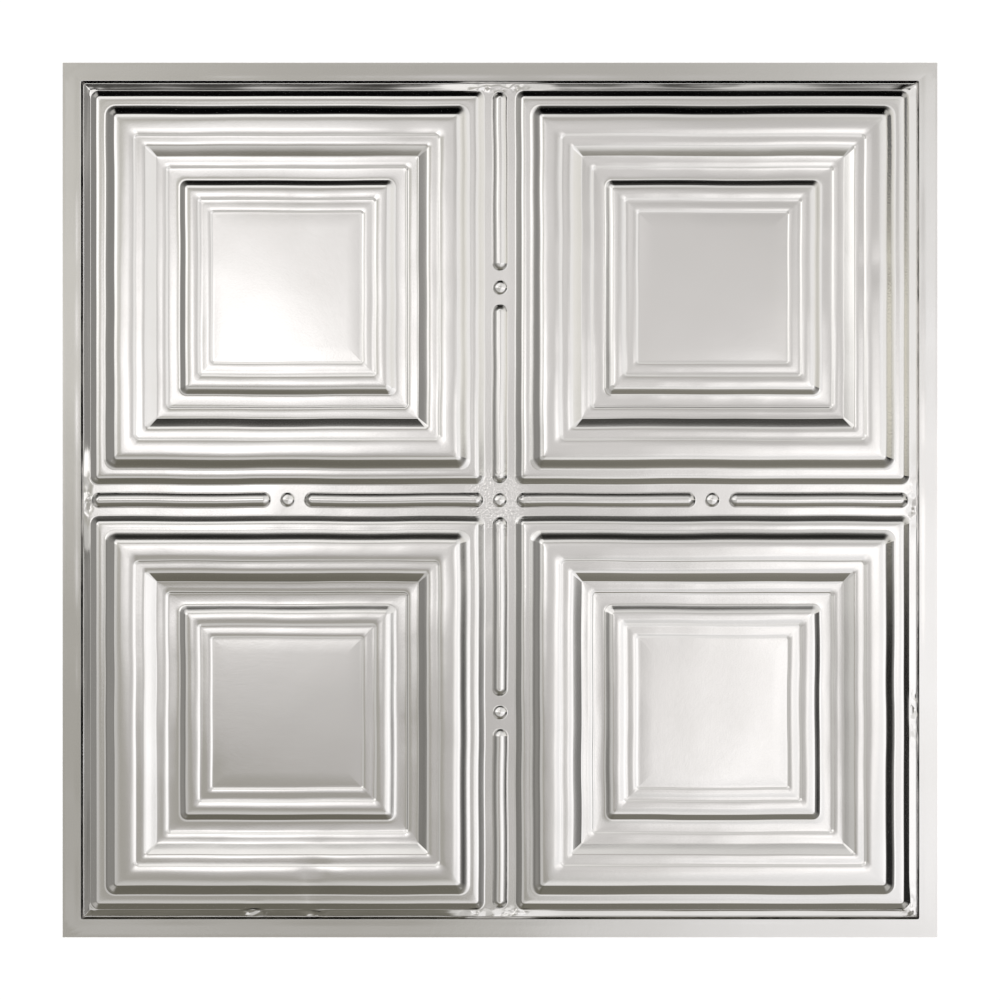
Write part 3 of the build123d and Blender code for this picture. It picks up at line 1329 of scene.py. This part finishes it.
@dataclass
class StudioSky:
    """Soft light overhead with brighter pools, in rings that turn dark towards some sides of the room."""

    overhead: Colour = (0.556, 0.544, 0.532)
    backdrop: Colour = (0.93, 0.93, 0.93)
    lean_near: float = 0.07  # how much higher the rings lie on the near side
    lean_right: float = 0.02  # and how much lower on the right
    pools: tuple[LightPool, ...] = (
        LightPool(-0.105, 0.086, 0.080, 0.076, 0.50),
        LightPool(0.130, -0.011, 0.069, 0.069, 0.95),
        LightPool(0.018, 0.103, 0.048, 0.048, 0.22),
        LightPool(-0.090, 0.013, 0.058, 0.051, 0.97),
        LightPool(0.092, -0.118, 0.048, 0.048, 0.86),
    )
    bands: tuple[SkyBand, ...] = (
        SkyBand(9.1, 11.0, (
            (-180.0, 0.52, 0.5), (-165.0, 0.42, 0.6), (-120.0, 0.38, 0.6), (-95.0, 0.38, 0.6),
            (-85.0, 0.62, 0.2), (-60.0, 0.94, 0.0), (-20.0, 1.12, 0.0), (15.0, 1.04, 0.0), (45.0, 0.74, 0.2),
            (75.0, 0.49, 0.4), (105.0, 0.45, 0.5), (135.0, 0.52, 0.5), (165.0, 0.72, 0.4), (180.0, 0.52, 0.5),
        )),
        SkyBand(12.5, 20.0, (
            (-180.0, 0.80, 0.2), (-172.0, 0.60, 0.2), (-135.0, 0.60, 0.2), (-95.0, 0.68, 0.2),
            (-85.0, 0.95, 0.1), (-45.0, 1.0, 0.0), (-5.0, 1.3, 0.0), (5.0, 0.98, 0.1), (45.0, 0.9, 0.1),
            (85.0, 0.76, 0.15), (95.0, 1.08, 0.15), (135.0, 1.05, 0.1), (172.0, 1.4, 0.1), (180.0, 0.80, 0.2),
        )),
        SkyBand(48.5, 56.5, (
            (-180.0, 0.25, 0.3), (-174.0, 0.20, 0.4), (-135.0, 0.19, 0.7), (-95.0, 0.18, 1.1),
            (-85.0, 0.26, 0.9), (-45.0, 0.30, 0.5), (-8.0, 0.26, 0.2), (-1.5, 0.26, 0.2), (1.5, 0.95, 0.3),
            (40.0, 0.75, 0.3), (56.0, 0.22, 0.3), (68.0, 0.085, 0.5), (112.0, 0.08, 0.5), (126.0, 0.09, 0.4),
            (142.0, 0.15, 0.3), (172.0, 0.40, 0.3), (180.0, 0.25, 0.3),
        )),
        SkyBand(56.5, 64.5, (
            (-180.0, 0.32, 0.3), (-135.0, 0.22, 0.7), (-95.0, 0.15, 1.2), (-85.0, 0.21, 0.9),
            (-45.0, 0.15, 0.5), (-10.0, 0.02, 0.2), (-1.5, 0.01, 0.2), (1.5, 0.66, 0.5), (40.0, 0.56, 0.4),
            (56.0, 0.2, 0.3), (66.0, 0.0, 0.5), (114.0, 0.0, 0.5), (126.0, 0.05, 0.4), (142.0, 0.17, 0.3),
            (168.0, 0.25, 0.3), (180.0, 0.30, 0.3),
        )),
        SkyBand(63.3, 65.8, (
            (-180.0, 0.30, 0.3), (-163.0, 0.28, 0.4), (-146.0, 0.50, 0.3), (-124.0, 0.50, 0.3),
            (-107.0, 0.17, 1.0), (-95.0, 0.15, 1.2), (-85.0, 0.21, 0.9), (-73.0, 0.20, 0.7),
            (-56.0, 0.50, 0.3), (-34.0, 0.50, 0.3), (-17.0, 0.05, 0.2), (-10.0, 0.02, 0.2), (-1.5, 0.01, 0.2),
            (1.5, 0.84, 0.8), (5.2, 0.84, 0.8), (6.0, 0.10, -0.3), (17.0, 0.10, 0.0), (34.0, 0.50, 0.3),
            (58.0, 0.50, 0.3), (73.0, 0.0, 0.5), (107.0, 0.0, 0.5), (122.0, 0.50, 0.3), (146.0, 0.50, 0.3),
            (162.0, 0.25, 0.3), (168.0, 0.25, 0.3), (180.0, 0.30, 0.3),
        )),
        SkyBand(75.0, 83.0, (
            (-180.0, 0.02, 0.5), (-162.0, 0.02, 0.5), (-146.0, 0.42, 0.3), (-124.0, 0.42, 0.3),
            (-108.0, 0.02, 0.5), (-72.0, 0.02, 0.5), (-56.0, 0.42, 0.3), (-34.0, 0.42, 0.3),
            (-18.0, 0.02, 0.5), (18.0, 0.02, 0.5), (34.0, 0.42, 0.3), (56.0, 0.42, 0.3),
            (72.0, 0.02, 0.5), (108.0, 0.02, 0.5), (124.0, 0.42, 0.3), (146.0, 0.42, 0.3),
            (162.0, 0.02, 0.5), (180.0, 0.02, 0.5),
        )),
    )

    def build(self) -> None:
        """Makes the world that lights the tile and shows in it."""
        world = bpy.data.worlds.new("studio_sky")
        world.use_nodes = True
        bpy.context.scene.world = world
        sheet = NodeSheet(world.node_tree)
        split = sheet.node("ShaderNodeSeparateXYZ")
        sheet.feed(split.inputs[0], sheet.node("ShaderNodeTexCoord").outputs["Generated"])
        x, y, z = split.outputs
        around = sheet.span(sheet.sum("ARCTAN2", y, x), -math.pi, math.pi, 0.0, 1.0)
        upright = sheet.sum("MULTIPLY_ADD", sheet.sum("MINIMUM", y, 0.0), self.lean_near, z)
        upright = sheet.sum("MULTIPLY_ADD", sheet.sum("MAXIMUM", x, 0.0), self.lean_right, upright)
        sky = self._overhead(sheet, x, y)
        for band in self.bands:
            near, far = (math.cos(math.radians(a)) for a in (band.begins, band.full))
            amount = sheet.span(upright, far, near, 1.0, 0.0, soft=True)
            sky = sheet.blend(amount, sky, sheet.ramp(around, band.colours()))
        seen = sheet.node("ShaderNodeLightPath").outputs["Is Camera Ray"]
        shown = sheet.blend(seen, sky, (*self.backdrop, 1.0))
        light = sheet.node("ShaderNodeBackground")
        sheet.feed(light.inputs["Color"], shown)
        sheet.feed(sheet.node("ShaderNodeOutputWorld").inputs["Surface"], light.outputs[0])

    def _overhead(self, sheet: NodeSheet, x: Socket, y: Socket) -> Socket:
        """The colour straight overhead, with its pools of light.

        Args:
            sheet: where the nodes go.
            x: the direction's part along X.
            y: the direction's part along Y.

        Returns:
            A colour socket.
        """
        gain: object = 0.0
        for pool in self.pools:
            side = sheet.sum("DIVIDE", sheet.sum("SUBTRACT", x, pool.across), pool.wide)
            along = sheet.sum("DIVIDE", sheet.sum("SUBTRACT", y, pool.up), pool.deep)
            away = sheet.sum("ADD", sheet.sum("MULTIPLY", side, side), sheet.sum("MULTIPLY", along, along))
            glow = sheet.sum("EXPONENT", sheet.sum("MULTIPLY", away, -1.0))
            gain = sheet.sum("MULTIPLY_ADD", glow, pool.level, gain)
        tint = sheet.node("ShaderNodeCombineXYZ")
        for socket, part in zip(tint.inputs, self.overhead):
            sheet.feed(socket, sheet.sum("ADD", gain, part))
        return tint.outputs[0]


@dataclass(frozen=True)
class FloorPaper:
    """Plain pale paper that glows a little, so that it looks even all over."""

    colour: Colour = (0.86, 0.86, 0.86)
    glow: Colour = (1.0, 1.0, 1.0)
    lift: float = 0.5
    dullness: float = 0.9
    gloss: float = 0.1

    def material(self) -> bpy.types.Material:
        """Builds the finish.

        Returns:
            A material of one colour.
        """
        made = bpy.data.materials.new("floor_paper")
        made.use_nodes = True
        shader = made.node_tree.nodes["Principled BSDF"]
        shader.inputs["Base Color"].default_value = (*self.colour, 1.0)
        shader.inputs["Roughness"].default_value = self.dullness
        shader.inputs["Specular IOR Level"].default_value = self.gloss
        shader.inputs["Emission Color"].default_value = (*self.glow, 1.0)
        shader.inputs["Emission Strength"].default_value = self.lift
        return made


@dataclass
class Floor:
    """A plain pale floor under the tile, in metres."""

    side: float = 16.0
    below: float = 0.0004
    finish: FloorPaper = FloorPaper()

    def build(self) -> None:
        """Makes the floor as one large flat face, a little below the tile."""
        h = self.side / 2
        mesh = bpy.data.meshes.new("studio_floor")
        corners = [(-h, -h, -self.below), (h, -h, -self.below), (h, h, -self.below), (-h, h, -self.below)]
        mesh.from_pydata(corners, [], [(0, 1, 2, 3)])
        mesh.materials.append(self.finish.material())
        floor = bpy.data.objects.new("studio_floor", mesh)
        bpy.context.scene.collection.objects.link(floor)


@dataclass
class Eye:
    """The camera, straight above the middle of the tile."""

    distance: float = 2.0
    seen_width: float = 0.6898
    sensor: float = 36.0
    far: float = 100.0

    def build(self) -> None:
        """Makes the camera and sets it for the scene."""
        data = bpy.data.cameras.new("eye")
        data.sensor_width = self.sensor
        data.lens = self.sensor * self.distance / self.seen_width
        data.clip_end = self.far
        camera = bpy.data.objects.new("eye", data)
        camera.location = (0.0, 0.0, self.distance)
        bpy.context.scene.collection.objects.link(camera)
        bpy.context.scene.camera = camera


@dataclass
class Studio:
    """The room round the tile: sky, floor and camera, with plain colour handling."""

    sky: StudioSky = field(default_factory=StudioSky)
    floor: Floor = field(default_factory=Floor)
    eye: Eye = field(default_factory=Eye)

    def build(self) -> None:
        """Builds the room."""
        self.sky.build()
        self.floor.build()
        self.eye.build()
        bpy.context.scene.view_settings.view_transform = "Standard"
        log.info("studio: sky, floor and camera")


def main() -> None:
    """Builds the tile and the studio, in order."""
    logging.basicConfig(level=logging.INFO, format="%(name)s: %(message)s")
    tile = TileSheet()
    tile.dress(tile.build())
    Studio().build()


if __name__ == "__main__":
    main()
